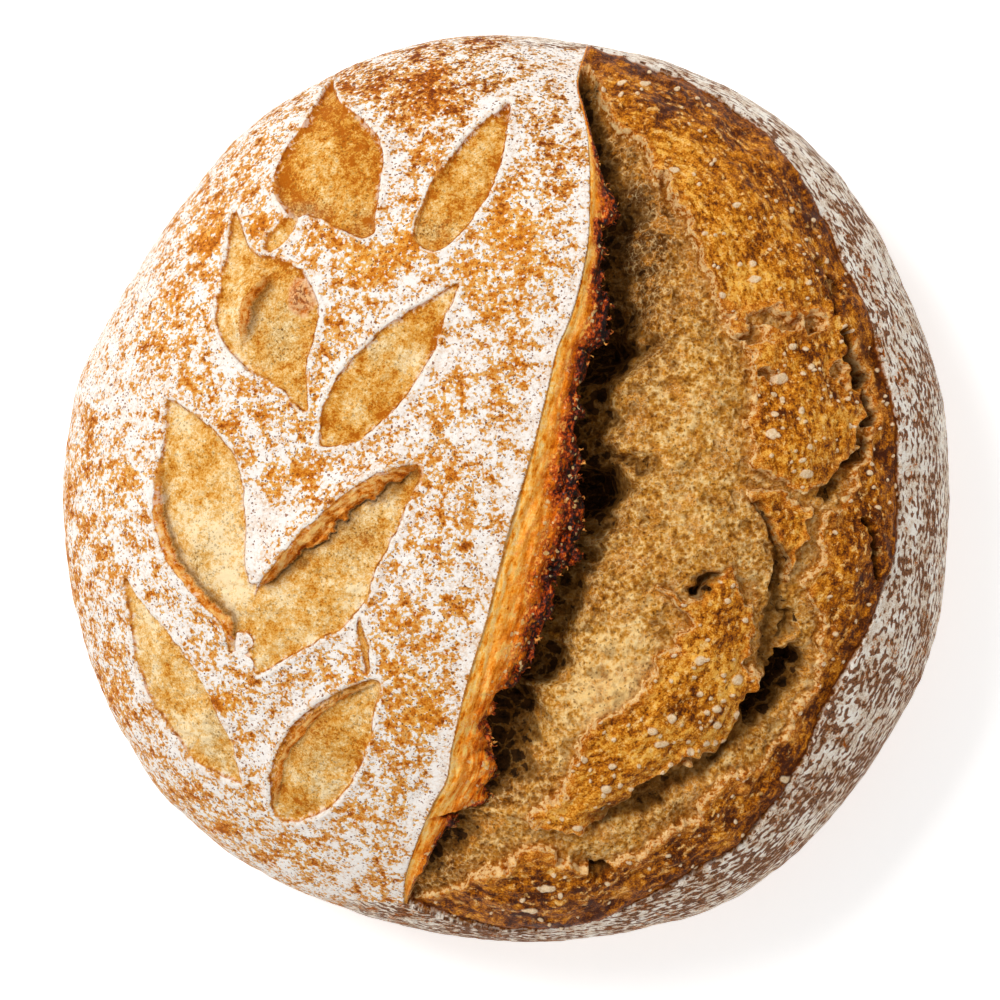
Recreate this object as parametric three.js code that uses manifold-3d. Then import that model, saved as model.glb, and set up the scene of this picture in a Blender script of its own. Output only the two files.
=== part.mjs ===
// A round sourdough loaf, baked as one piece and standing on its flat base.
// The crust is a low dome. One long curved slash has opened into a burst: to its left the crust lifts
// into a lip, the ear, whose sloping cut face overhangs the crumb, and to its right the bare, swollen
// burst runs to the rim, where the floured crust starts again. Eight leaf-shaped scores mark the crust
// to the left of the ear.
// Millimetres, +Z up, the origin in the middle of the base. +X points from the leaves to the burst and
// +Y along the ear.
import * as THREE from "three";
import { mergeVertices } from "three/addons/utils/BufferGeometryUtils.js";
import Module from "manifold-3d";

// Driving dimensions.
const MEAN_RADIUS = 117.2;
const CROWN_HEIGHT = 98; // top of the dome over the base, without the ear
const WAIST_HEIGHT = 34; // height of the widest section
const UNDERSIDE_DEPTH = 40; // how far the round underside would go below the waist, if it weren't flat
const SIDE_POWER = 2.3; // above 2 the dome has a flatter top and steeper sides than an ellipsoid
const UNDERSIDE_POWER = 2.6;
const EAR_LIFT = 6; // rise of the crust at the ear's edge
const EAR_REACH = 28; // width of the crust that rises with it
const EAR_SLOPE = 0.8; // fall of the ear's cut face for each millimetre across it
const BURST_DROP = 1.6; // step from the crust down to the burst's skin at the rim
const TRENCH_DEPTH = 12; // extra depth of the crumb beside the ear
const TRENCH_WIDTH = 16;
const UNDERCUT_RADIUS = 4.2; // hollow under the ear's lip
const SCORE_DEPTH = 1.8;
const SECTIONS_ROUND = 60;
const SECTIONS_DOWN = 28;
const CURVE_STEPS = 4; // straight pieces for each point of an outline

// The outline seen from above is a circle with a few low waves: [waves per turn, height, degrees to a crest].
const OUTLINE_WAVES = [
  [1, 1.5, -30],
  [2, 1.7, 78],
  [3, 1.6, -43],
  [4, 1.0, 32],
  [6, 0.8, -12],
];

// The ear's edge, the width of its cut face at some of those points, and the rim of the burst.
const EAR_EDGE = [
  [20.5, 114], [19, 97], [20.5, 80], [20, 61], [15.5, 41], [10, 24.5], [5.5, 6.5],
  [0, -12.5], [-4.5, -31], [-9.5, -46], [-13.5, -62], [-18.5, -78], [-25.5, -96], [-26.5, -104],
];
const EAR_FACE_WIDTH = [0, 1, 5, 5, 8, 10, 12, 15, 13, 11, 8, 9, 3, 0];
const RIM_EDGE = [
  [37.5, 108.5], [58.5, 97], [74, 81], [84.5, 62.5], [92.5, 42], [98, 23.5], [100, 7.5], [99.5, -12.5],
  [93, -33.5], [84.5, -49.5], [74, -71], [59.5, -89.5], [41.5, -101.5], [22, -111], [2.5, -113], [-14.5, -109],
];

// Each leaf-shaped score: one edge from its base to its tip, then the other edge back to the base.
const LEAF_SCORES = [
  [[[-42, 65], [-58, 73.5], [-55, 88], [-45.5, 105]], [[-33, 91], [-31.5, 80]]],
  [[[-22, 61], [-19, 77], [-9, 90.5], [0.5, 98]], [[-3, 77.5], [-11, 64.5]]],
  [[[-51, 20], [-72.5, 38.5], [-72, 54], [-68, 69]], [[-49, 52], [-49, 36]]],
  [[[-46, 12], [-41.5, 29.5], [-28, 43], [-12, 51]], [[-18.5, 34], [-32, 17]]],
  [[[-70, -40], [-86, -17], [-87, 10], [-85, 23]], [[-68.5, 8.5], [-66, -20]]],
  [[[-62.5, -46], [-62, -25], [-43.5, -3.5], [-22.5, 6.5]], [[-32.5, -18.5], [-45, -36.5]]],
  [[[-69, -74], [-87, -59.5], [-96, -37], [-97.5, -24]], [[-85, -37], [-73.5, -57.5]]],
  [[[-58, -84], [-60, -71], [-50.5, -56], [-32, -47]], [[-38.5, -72], [-48, -83]]],
];
const RECESS_FLOOR = 38; // every recess stays above this height
const RECESS_TOP = 130;

const wasm = await Module();
wasm.setup();

const radians = (degrees) => (degrees * Math.PI) / 180;

function outlineRadius(angle) {
  const waves = OUTLINE_WAVES.map(([count, height, crest]) => height * Math.cos(count * (angle - radians(crest))));
  return waves.reduce((sum, wave) => sum + wave, MEAN_RADIUS);
}

// A smooth open line through points, as THREE.Vector2s.
function smoothLine(points) {
  const curve = new THREE.SplineCurve(points.map(([x, y]) => new THREE.Vector2(x, y)));
  return curve.getPoints(CURVE_STEPS * (points.length - 1));
}

// The ear's edge pushed to its right by the width of the cut face, which is the edge of its lip.
function lipLine() {
  return smoothLine(
    EAR_EDGE.map(([x, y], i) => {
      const [x0, y0] = EAR_EDGE[Math.max(i - 1, 0)];
      const [x1, y1] = EAR_EDGE[Math.min(i + 1, EAR_EDGE.length - 1)];
      const along = new THREE.Vector2(x1 - x0, y1 - y0).normalize();
      return [x - along.y * EAR_FACE_WIDTH[i], y + along.x * EAR_FACE_WIDTH[i]];
    }),
  );
}

const earLine = smoothLine(EAR_EDGE);
const lip = lipLine();

// Distance from a line down the loaf in the plan, positive on the burst's side.
function beside(line, x, y) {
  const point = new THREE.Vector2(x, y);
  let best = Infinity;
  let side = 1;
  for (let i = 1; i < line.length; i++) {
    const along = line[i].clone().sub(line[i - 1]);
    const offset = point.clone().sub(line[i - 1]);
    const share = THREE.MathUtils.clamp(offset.dot(along) / along.lengthSq(), 0, 1);
    const distance = offset.distanceTo(along.clone().multiplyScalar(share));
    if (distance < best) {
      best = distance;
      side = Math.sign(along.cross(offset)) || 1;
    }
  }
  return best * side;
}

// 1 along the middle of the ear, falling to 0 at its ends.
const alongEar = (y) => 1 - THREE.MathUtils.smoothstep(Math.abs(y - 4), 45, 105);

// Four surfaces, each as a change to the plain dome's height.
const liftedCrust = (x, y) => EAR_LIFT * alongEar(y) * Math.exp(-((beside(earLine, x, y) / EAR_REACH) ** 2));
const scoreFloor = (x, y) => liftedCrust(x, y) - SCORE_DEPTH;
const earFace = (x, y) => EAR_LIFT * alongEar(y) - EAR_SLOPE * Math.max(beside(earLine, x, y), 0);
const burstSkin = (x, y) =>
  -BURST_DROP - TRENCH_DEPTH * alongEar(y) * Math.exp(-((Math.max(beside(lip, x, y), 0) / TRENCH_WIDTH) ** 2));

// A closed geometry as a solid for cutting.
function solid(geometry) {
  const bare = geometry.clone();
  bare.deleteAttribute("normal");
  bare.deleteAttribute("uv");
  const merged = mergeVertices(bare, 1e-3);
  const vertProperties = merged.attributes.position.array;
  return new wasm.Manifold(new wasm.Mesh({ numProp: 3, vertProperties, triVerts: new Uint32Array(merged.index.array) }));
}

// The whole loaf, made from a sphere, with a change of height over its upper half.
function loafWith(heightChange) {
  const geometry = new THREE.SphereGeometry(1, SECTIONS_ROUND, SECTIONS_DOWN).rotateX(Math.PI / 2);
  const position = geometry.attributes.position;
  for (let i = 0; i < position.count; i++) {
    const level = position.getZ(i);
    const angle = Math.atan2(position.getY(i), position.getX(i));
    const spread = Math.sqrt(Math.max(1 - level * level, 0));
    const power = level > 0 ? SIDE_POWER : UNDERSIDE_POWER;
    const radius = outlineRadius(angle) * spread ** (2 / power);
    const x = radius * Math.cos(angle);
    const y = radius * Math.sin(angle);
    const upper = WAIST_HEIGHT + (CROWN_HEIGHT - WAIST_HEIGHT) * level;
    const z =
      level > 0
        ? upper + heightChange(x, y) * THREE.MathUtils.smoothstep(level, 0, 0.2)
        : WAIST_HEIGHT + UNDERSIDE_DEPTH * level;
    position.setXYZ(i, x, y, z);
  }
  return solid(geometry);
}

// Upright walls on an outline, closed at the top and bottom.
function walls(outline) {
  const depth = RECESS_TOP - RECESS_FLOOR;
  const prism = new THREE.ExtrudeGeometry(new THREE.Shape(outline), { depth, bevelEnabled: false });
  return solid(prism.translate(0, 0, RECESS_FLOOR));
}

function leafRecess([rise, fall]) {
  const outline = [...smoothLine(rise), ...smoothLine([rise.at(-1), ...fall, rise[0]]).slice(1, -1)];
  return walls(outline).subtract(loafWith(scoreFloor));
}

// The burst runs from the ear's edge to the rim, and keeps the wedge of the ear that reaches out over it.
function burstRecess() {
  const rimLine = smoothLine([EAR_EDGE[0], ...RIM_EDGE, EAR_EDGE.at(-1)]);
  const outline = [...earLine, ...rimLine.slice(1, -1).reverse()];
  const farLeft = [lip.at(-1), lip[0]].map(({ y }) => new THREE.Vector2(-2 * MEAN_RADIUS, y));
  const earWedge = loafWith(earFace).intersect(walls([...lip, ...farLeft]));
  return walls(outline).subtract(loafWith(burstSkin)).subtract(earWedge);
}

// A round hollow that runs along the crumb just under the ear's lip.
function undercut() {
  const middle = lip.slice(CURVE_STEPS * 3, -CURVE_STEPS * 2).filter((_, i) => i % 2 === 0);
  const path = middle.map(({ x, y }) => {
    const spread = Math.hypot(x, y) / outlineRadius(Math.atan2(y, x));
    const dome = WAIST_HEIGHT + (CROWN_HEIGHT - WAIST_HEIGHT) * Math.sqrt(1 - spread ** SIDE_POWER);
    return new THREE.Vector3(x - UNDERCUT_RADIUS / 2, y, dome + burstSkin(x, y) + UNDERCUT_RADIUS * 0.6);
  });
  const section = new THREE.Shape().absarc(0, 0, UNDERCUT_RADIUS, 0, 2 * Math.PI);
  const extrudePath = new THREE.CatmullRomCurve3(path);
  return solid(new THREE.ExtrudeGeometry(section, { extrudePath, steps: 2 * path.length, curveSegments: 5 }));
}

// Everything below the board that the loaf stands on.
function belowBase() {
  const size = 3 * MEAN_RADIUS;
  return solid(new THREE.BoxGeometry(size, size, UNDERSIDE_DEPTH).translate(0, 0, -UNDERSIDE_DEPTH / 2));
}

function loafGeometry() {
  let loaf = loafWith(liftedCrust).subtract(belowBase()).subtract(burstRecess()).subtract(undercut());
  for (const leaf of LEAF_SCORES) {
    loaf = loaf.subtract(leafRecess(leaf));
  }
  const mesh = loaf.getMesh();
  const geometry = new THREE.BufferGeometry();
  geometry.setAttribute("position", new THREE.BufferAttribute(mesh.vertProperties, 3));
  geometry.setIndex(new THREE.BufferAttribute(mesh.triVerts, 1));
  geometry.computeVertexNormals();
  return geometry;
}

const crust = new THREE.MeshStandardMaterial({ color: 0xc98f4e, roughness: 0.85, metalness: 0 });
const loaf = new THREE.Mesh(loafGeometry(), crust);
loaf.name = "loaf";

const sourdoughLoaf = new THREE.Group();
sourdoughLoaf.add(loaf);

export default sourdoughLoaf;
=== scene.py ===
import math
import bpy
import numpy as np
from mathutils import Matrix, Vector


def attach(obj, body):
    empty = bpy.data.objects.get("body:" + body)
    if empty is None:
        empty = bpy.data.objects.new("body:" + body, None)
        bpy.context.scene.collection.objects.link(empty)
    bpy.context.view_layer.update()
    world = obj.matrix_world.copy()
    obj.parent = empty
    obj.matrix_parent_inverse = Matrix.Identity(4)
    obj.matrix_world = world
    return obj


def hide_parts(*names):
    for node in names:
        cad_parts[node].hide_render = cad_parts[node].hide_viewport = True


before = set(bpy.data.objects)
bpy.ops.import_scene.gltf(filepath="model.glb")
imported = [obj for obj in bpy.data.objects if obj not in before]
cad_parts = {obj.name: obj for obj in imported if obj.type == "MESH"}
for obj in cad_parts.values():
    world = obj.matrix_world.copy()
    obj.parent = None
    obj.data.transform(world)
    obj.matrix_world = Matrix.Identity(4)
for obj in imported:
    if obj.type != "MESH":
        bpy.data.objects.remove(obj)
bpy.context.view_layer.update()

# ----------------------------------------
# The camera: it looks straight down on the loaf from above its middle, through a long lens, so that
# the sides of the loaf hardly show.
CAMERA_PLACE = (-0.00195, -0.00248, 1.450)
LENS_MM = 195.7


def put(name, data):
    """Sets a camera, a lamp or a mesh into the scene as an object."""
    made = bpy.data.objects.new(name, data)
    bpy.context.scene.collection.objects.link(made)
    return made


camera_lens = bpy.data.cameras.new("camera")
camera_lens.lens = LENS_MM
camera_lens.sensor_width = 36.0
camera_lens.clip_start = 0.05
camera_lens.clip_end = 20.0
camera = put("camera", camera_lens)
camera.location = CAMERA_PLACE
bpy.context.scene.camera = camera
bpy.context.scene.view_settings.view_transform = "Standard"

# ----------------------------------------
# The round body: wheat dough proved in a round basket, turned out and baked on a flat stone, so it is
# a low dome over a rounded underside with a flat base. A fine net of threads covers the dome, and
# every later section moves those threads along the dome's own slope, in millimetres.
MEAN_RADIUS = 117.2
CROWN = 98.0
WAIST = 34.0
SIDE_POWER = 2.3
OUTLINE_WAVES = ((1, 1.5, -30), (2, 1.7, 78), (3, 1.6, -43), (4, 1.0, 32), (6, 0.8, -12))
THREADS = 941


def outline_radius(angle):
    waves = [high * np.cos(count * (angle - math.radians(crest))) for count, high, crest in OUTLINE_WAVES]
    return MEAN_RADIUS + sum(waves)


level = np.cos(np.linspace(0.0, math.pi / 2, 2000))
share_down = (1.0 - level**2) ** (1.0 / SIDE_POWER)
height_down = WAIST + (CROWN - WAIST) * level
arc_steps = np.hypot(np.diff(share_down) * MEAN_RADIUS, np.diff(height_down))
arc_down = np.concatenate([[0.0], np.cumsum(arc_steps)])
DOME_ARC = arc_down[-1]

row = np.linspace(-1.0, 1.0, THREADS)
net_x, net_y = np.meshgrid(row, row)
wider = np.abs(net_x) > np.abs(net_y)
reach = np.where(wider, net_x, net_y)
other = np.where(wider, net_y, net_x)
turn = math.pi / 4 * other / np.where(reach == 0.0, 1.0, reach)
angle = np.where(wider, turn, math.pi / 2 - turn) + np.where(reach < 0.0, math.pi, 0.0)
angle = angle.ravel()
arc = np.abs(reach).ravel() * DOME_ARC
plan_share = np.interp(arc, arc_down, share_down)
px = plan_share * outline_radius(angle) * np.cos(angle)
py = plan_share * outline_radius(angle) * np.sin(angle)
dome_z = np.interp(arc, arc_down, height_down)

fall = (CROWN - WAIST) * SIDE_POWER * plan_share ** (SIDE_POWER - 1) / 2
fall /= MEAN_RADIUS * np.maximum(np.sqrt(np.maximum(1.0 - plan_share**SIDE_POWER, 0.0)), 1e-3)
steepness = np.hypot(fall, 1.0)
out_x = fall / steepness * np.cos(angle)
out_y = fall / steepness * np.sin(angle)
out_z = 1.0 / steepness


def waves(seed, x, y, size):
    """Soft random waves, about size millimetres across, with a mean of 0 and a spread of 1."""
    fine = 6
    side = 64 * fine
    spectrum = np.fft.rfft2(np.random.default_rng(seed).standard_normal((side, side)))
    across = np.fft.fftfreq(side)[:, None] * fine
    down = np.fft.rfftfreq(side)[None, :] * fine
    spectrum *= np.exp(-(across**2 + down**2) / 0.35)
    tile = np.fft.irfft2(spectrum, s=(side, side))
    tile = (tile / tile.std()).astype(np.float32)
    at_x = x * (fine / size)
    at_y = y * (fine / size)
    left = np.floor(at_x).astype(np.int64)
    low = np.floor(at_y).astype(np.int64)
    share_x = (at_x - left).astype(np.float32)
    share_y = (at_y - low).astype(np.float32)
    left0, left1 = left % side, (left + 1) % side
    low0, low1 = low % side, (low + 1) % side
    near_row = tile[low0, left0] * (1 - share_x) + tile[low0, left1] * share_x
    far_row = tile[low1, left0] * (1 - share_x) + tile[low1, left1] * share_x
    return near_row * (1 - share_y) + far_row * share_y


def lumps(x, y, *layers):
    """Waves of several sizes at once. Each layer is a seed, a size and a height."""
    return sum(high * waves(seed, x, y, size) for seed, size, high in layers)


height = lumps(px, py, (1, 38.0, 0.5), (2, 9.0, 0.14), (3, 2.4, 0.05))


class Strand:
    """A socket of a material's nodes, with sums on it written as plain expressions."""

    def __init__(self, socket):
        self.socket = socket

    def node(self, kind, settings, sockets, output=0):
        tree = self.socket.id_data
        made = tree.nodes.new(kind)
        for name, value in settings.items():
            if name == "stops":
                while len(made.color_ramp.elements) < len(value):
                    made.color_ramp.elements.new(1.0)
                for stop, (at, colour) in zip(made.color_ramp.elements, value):
                    stop.position = at
                    stop.color = (*colour, 1.0)
            else:
                setattr(made, name, value)
        for name, value in sockets.items():
            if isinstance(value, Strand):
                tree.links.new(value.socket, made.inputs[name])
            else:
                made.inputs[name].default_value = value
        return Strand(made.outputs[output])

    def maths(self, operation, *values):
        return self.node("ShaderNodeMath", {"operation": operation}, dict(enumerate(values)))

    def __add__(self, value):
        return self.maths("ADD", self, value)

    def __sub__(self, value):
        return self.maths("SUBTRACT", self, value)

    def __rsub__(self, value):
        return self.maths("SUBTRACT", value, self)

    def __mul__(self, value):
        return self.maths("MULTIPLY", self, value)

    __radd__ = __add__
    __rmul__ = __mul__

    def between(self, start, end):
        """0 below start, 1 above end, and smooth from one to the other."""
        sockets = {"Value": self, "From Min": start, "From Max": end}
        return self.node("ShaderNodeMapRange", {"interpolation_type": "SMOOTHSTEP"}, sockets)

    def band(self, start, full, fade, end):
        """1 from full to fade, and smoothly down to 0 at start and end."""
        return self.between(start, full) * (1.0 - self.between(fade, end))

    def over(self, under, share):
        """This colour over another, by a share from 0 to 1."""
        return self.node("ShaderNodeMix", {"data_type": "RGBA"}, {0: share, 6: under, 7: self}, 2)


def paint(red, green, blue):
    """A colour given as on a paint card, 0 to 255, in the linear form that shaders use."""
    shares = [value / 255 for value in (red, green, blue)]
    return tuple(s / 12.92 if s <= 0.04045 else ((s + 0.055) / 1.055) ** 2.4 for s in shares)


def new_material(name):
    """A new material, its shader, and a strand from which its other nodes are made."""
    made = bpy.data.materials.new(name)
    made.use_nodes = True
    made_shader = made.node_tree.nodes["Principled BSDF"]
    return made, made_shader, Strand(made_shader.outputs[0])


crust, shader, start = new_material("baked_crust")
coords = start.node("ShaderNodeTexCoord", {}, {}, 3)
drift = start.node("ShaderNodeTexNoise", {}, {"Vector": coords, "Scale": 1000.0, "Detail": 1.0}, 1)
drift = start.node("ShaderNodeVectorMath", {"operation": "SCALE"}, {0: drift, "Scale": 0.0011})
shaken = start.node("ShaderNodeVectorMath", {"operation": "ADD"}, {0: coords, 1: drift})


def grain(size, detail=2.0, rough=0.6, where=coords, metre=1000.0):
    """Noise with grains about size millimetres across, from 0 to 1. The coordinates are in metres, or
    in millimetres where metre is 1."""
    sockets = {"Vector": where, "Scale": metre / size, "Detail": detail, "Roughness": rough}
    return where.node("ShaderNodeTexNoise", {}, sockets)


def cells(size, feature="F1"):
    """Distance to the middle of scattered cells, or to the edges between them, in cell sizes."""
    settings = {"feature": feature}
    return start.node("ShaderNodeTexVoronoi", settings, {"Vector": shaken, "Scale": 1000 / size})


def ramp(value, *stops):
    """Colours by a value. Each stop is a place from 0 to 1, then red, green and blue from 0 to 255."""
    painted = [(at, paint(*card)) for at, *card in stops]
    return value.node("ShaderNodeValToRGB", {"stops": painted}, {"Fac": value})


masks = {}
masks_below = {}


def mask(name, values, below=0.0):
    """Keeps a value at each thread of the dome and reads it in the shader. Down the underside it turns
    to the value below, or stays as it is at the dome's border where that is None."""
    masks[name] = values
    masks_below[name] = below
    return start.node("ShaderNodeAttribute", {"attribute_name": name}, {}, 2)


speck = grain(0.5, 3.0, 0.75)
clump = grain(0.9, 1.0, 0.5)
fleck = grain(1.7)
patch = grain(5.0, 3.0)
blotch = grain(13.0, 3.0, 0.55)
far_side = np.clip((py + 0.25 * px - 62.0) / 50.0, 0.0, 1.0)  # the side that browned most in the oven
shoulder = np.clip(np.hypot(px, py) / 22.0 - 4.2, 0.0, 1.0)
bake = mask("bake", far_side + 0.3 * shoulder, 0.5)
colour = ramp(
    fleck * 0.35 + patch * 0.3 + speck * 0.35 + 0.025 - bake * 0.08,
    (0.38, 120, 50, 4), (0.46, 194, 104, 16), (0.54, 226, 146, 42), (0.63, 246, 200, 112),
)
crust_relief = speck * 0.5 + fleck * 0.35

# ----------------------------------------
# The slash: one long cut down the loaf, made with a blade just before baking. In the oven the floured
# crust to its left lifted along the cut and became the ear.
EAR_EDGE = (
    (20.5, 115), (17.5, 104), (18.5, 97), (20, 87), (20, 73), (19.5, 61), (17.5, 50), (14.8, 41),
    (11.8, 34), (9.6, 24.5), (5, 6.5), (-0.6, -12.5), (-5.2, -31), (-9.8, -46), (-13.6, -62),
    (-15.3, -71.5), (-19.2, -79), (-25.5, -96), (-26.5, -105),
)
SLASH_TOP = 114.0
SLASH_FOOT = -105.0
EAR_LIFT = 5.5
EAR_REACH = 28.0


def ease(value, start, end):
    share = np.clip((value - start) / (end - start), 0.0, 1.0)
    return share * share * (3.0 - 2.0 * share)


def hump(value, width):
    """1 at 0, falling smoothly to nothing at about twice the width on either side."""
    return np.exp(-((value / width) ** 2))


def oval(x, y, middle_x, middle_y, half_x, half_y, width=1.0):
    """The same hump round the middle of an oval, in shares of its half length across and up."""
    return hump(np.hypot((x - middle_x) / half_x, (y - middle_y) / half_y), width)


def smooth_line(points, steps=6, closed=False):
    """Points of a smooth line through the given ones."""
    points = np.array(points, dtype=float)
    if closed:
        padded = np.vstack([points[-1], points, points[:2]])
    else:
        padded = np.vstack([2 * points[0] - points[1], points, 2 * points[-1] - points[-2]])
    pieces = []
    for a, b, c, d in zip(padded, padded[1:], padded[2:], padded[3:]):
        for share in np.arange(steps) / steps:
            line = 2 * b + (c - a) * share
            line += (2 * a - 5 * b + 4 * c - d) * share**2 + (3 * b - a - 3 * c + d) * share**3
            pieces.append(line / 2)
    if not closed:
        pieces.append(points[-1])
    return np.array(pieces)


ear_line = smooth_line(EAR_EDGE)[::-1]
beside_ear = px - np.interp(py, ear_line[:, 1], ear_line[:, 0])
along_ear = 1.0 - ease(np.abs(py - 4.0), 45.0, 108.0)
lifted_crust = (beside_ear < 0.0) & (py < SLASH_TOP) & (py > SLASH_FOOT)
lifted = EAR_LIFT * along_ear * hump(beside_ear, EAR_REACH)
height += np.where(beside_ear < 0.0, lifted, 0.0)

# ----------------------------------------
# The burst: the bare dough that swelled out of the slash. Next to the ear it is torn crumb, open and
# stringy, and further out it set into a thin golden skin with blisters and torn, browned edges.
RIM = (
    (20.5, 115), (28, 112.5), (37.5, 108.5), (50.5, 103), (64, 93), (74, 81), (84.5, 62.5), (92.5, 42),
    (98, 23.5), (100, 7.5), (99.5, -12.5), (95, -26.5), (88.5, -42), (82, -54), (74, -71),
    (59.5, -89.5), (41.5, -101.5), (22, -111), (2.5, -113.5), (-14.5, -110), (-26.5, -105),
)
CRUMB_EDGE = (  # the crumb's border with the skin, from the top of the slash round to its foot
    (20, 108), (25, 98), (30, 91), (37, 83), (44, 73.5), (47.5, 66.5), (48.5, 58), (53.5, 48.5),
    (58, 40), (61.5, 34.5), (61.5, 18), (63, 8), (70, 2.5), (76, 0), (82, 1.5), (86, 7), (89, 14),
    (91, 22), (90.5, 31), (88.5, 38), (91, 30), (92.6, 22), (91.5, 10), (89, 2), (84, -5), (80, -11),
    (79, -18), (76.5, -22), (78, -29), (80, -37.5), (79.5, -45), (76, -53), (72, -60), (63, -69),
    (52.5, -77.5), (45, -83), (35.5, -90), (27, -95.5), (19.5, -96), (12, -93.5), (4, -93), (-3, -96.5),
    (-11, -101), (-20, -104), (-27, -104.5),
)
ISLAND = (
    (38, -24.5), (45.5, -28), (52, -24.5), (56, -19.5), (60, -24), (62, -31), (61.5, -39.5),
    (62.5, -49), (60, -55.5), (56, -63.5), (50, -67), (43, -70), (36, -73.5), (29, -80.5), (21, -86),
    (12, -87), (3.5, -83.5), (9, -79.5), (14, -76), (17.5, -68), (18.5, -61), (25, -57), (32, -52.5),
    (36, -46), (41, -40), (46, -34), (42, -29),
)
TONGUE = ((63, -0.5), (71.5, -2), (77, -4), (76.5, -10), (73.5, -16), (72.5, -22.5), (70, -17), (66.5, -9))
OPEN_PATCHES = (  # where the skin has worn through to the crumb: centre, half length across and up
    (67.5, 42.5, 6.5, 2.6), (63, 38.5, 3.5, 1.8), (78, 41.5, 2.8, 2.0), (65.5, 29, 2.2, 1.6),
    (31, 52, 3.0, 2.0), (84, 30, 2.0, 2.6),
)
CRACKS = (  # each crack's line, half width and depth
    (((85.5, 38.5), (88.5, 33), (90.5, 27)), 1.3, 12.0),
    (((91.2, 23.5), (91.5, 17)), 1.1, 11.0),
    (((91, 12), (87, 5), (81, -2)), 1.4, 4.5),
    (((91, -5.5), (94, -13), (95, -21)), 0.8, 8.0),
    (((69, -17), (69, -28), (67.5, -39), (66, -50), (60.5, -60), (52, -68.5), (43.5, -74), (33, -79),
      (24, -84)), 3.0, 3.4),
    (((63, -56), (69.5, -49.5), (73.5, -43)), 3.0, 17.0),
    (((49.5, -25.5), (52, -23)), 2.0, 6.0),
    (((25, -98), (22, -97.5)), 1.3, 6.0),
    (((53, -69), (57, -65)), 1.4, 6.0),
    (((44, -75), (37, -79.5), (33, -81)), 1.4, 4.5),
    (((68, -20), (67, -24)), 1.6, 5.0),
    (((70.5, -30), (71, -36)), 1.3, 4.0),
    (((64, -3), (68, -13), (71, -22)), 0.9, 3.0),
    (((24, 3), (28, 0), (22, -3)), 3.4, 9.0),
    (((27, 40), (31, 36), (25.5, 33)), 3.4, 7.0),
    (((79, 57), (82.5, 49), (84, 45)), 0.9, 2.0),
    (((30, 8), (36, 5)), 1.2, 3.0),
)
BLISTERS = (  # centre, half length across and half length up
    (47.5, -42, 1.7, 1.2), (57.5, -47.5, 1.8, 1.5), (52, -54.5, 1.4, 1.0), (58, -57, 1.0, 1.4),
    (52.5, -59, 1.2, 1.2), (36, -60, 1.5, 1.0), (38.5, -63.5, 2.2, 0.9), (50, -64, 1.0, 0.8),
    (55, -64, 1.2, 0.8), (24.5, -74.5, 1.4, 1.1), (31, -75, 0.9, 0.8), (17.5, -85, 1.4, 1.1),
    (68.5, 28, 2.2, 1.4), (66, 14, 1.4, 1.6), (75, 4, 2.0, 1.2), (71.5, 36, 1.0, 1.0),
    (57, 71, 1.2, 0.9), (35, 103.5, 1.6, 0.8), (29, 103.5, 1.2, 0.7), (42, 81, 1.6, 0.9),
    (62, 53, 1.6, 1.0), (54, 49, 1.0, 0.9), (10, -101, 2.6, 0.9), (5.5, -106.5, 2.4, 0.8),
    (71, -73.5, 2.4, 1.0), (26, -69, 1.3, 0.9), (73, 20, 1.0, 1.0), (76, 31, 0.9, 0.9),
    (61.5, 57, 0.9, 0.9), (46, -66, 1.2, 0.8), (67, 19, 0.9, 1.0), (41, -57, 1.3, 1.3),
)
CRUMB_TONES = (  # where the crumb is painted paler (less baked) and where darker (mostly painted shade near the ear's hollow): centre, half length across and up, how much
    (27, -54, 13, 14, 0.17), (34, 66, 8, 16, -0.18), (38, 40, 8, 10, -0.05), (60, -46, 9, 12, -0.05),
    (45, 20, 9, 20, 0.02), (30, -80, 20, 5, -0.04),
)
CRUMB_DROP = 2.2
TRENCH_DROP = 17.0
SKIN_DROP = 1.3
SKIN_SWELL = 1.4
RIM_SWELL = 1.0
RIM_GROOVE = 0.9
TORN_LIFT = 0.95
BLISTER_LIFT = 0.6
BURST_LEFT, BURST_FOOT, BURST_TOP = -32.0, -116.0, 117.0
HOLLOW_REACH = (  # down the ear, how far from the lip the hollow under it runs, both sunk and painted with dark shade
    (110, 3), (96, 5.5), (86, 8.5), (74, 10), (61, 10.5), (48.5, 11), (38, 15.5), (30, 12), (23, 9.5),
    (15.5, 8.5), (6, 8.5), (0, 14), (-6, 9), (-12.5, 7), (-25, 6.5), (-38, 8), (-54.5, 11), (-66, 12),
    (-73.5, 9.5), (-78.5, 5), (-86.5, 9), (-96.5, 8), (-101.5, 5),
)
EAR_FACE = (  # down the ear, the width of its cut face
    (114, 0.3), (99, 0.6), (88, 1.2), (79, 4.0), (72, 7.2), (69, 7.6), (66, 4.0), (62, 4.2), (58, 6.2),
    (50, 6.4), (44, 8.6), (38, 10.2), (33, 9.0), (28, 8.6), (19, 11.4), (14, 10.6), (9, 12.8),
    (1, 13.8), (-5, 16.5), (-9.5, 19.4), (-13.5, 17.4), (-17, 19.2), (-21.5, 15.2), (-30, 15.6),
    (-36, 14.8), (-43, 15.0), (-46, 14.6), (-49.5, 13.6), (-50.6, 8.8), (-58, 9.2), (-65, 9.8),
    (-70, 11.6), (-76, 12.8), (-79, 15.2), (-81.5, 13.0), (-82.4, 3.0), (-84, 8.4), (-86, 9.4),
    (-90, 7.6), (-91.5, 5.6), (-95, 5.2), (-98, 3.2), (-104, 1.0),
)


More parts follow.
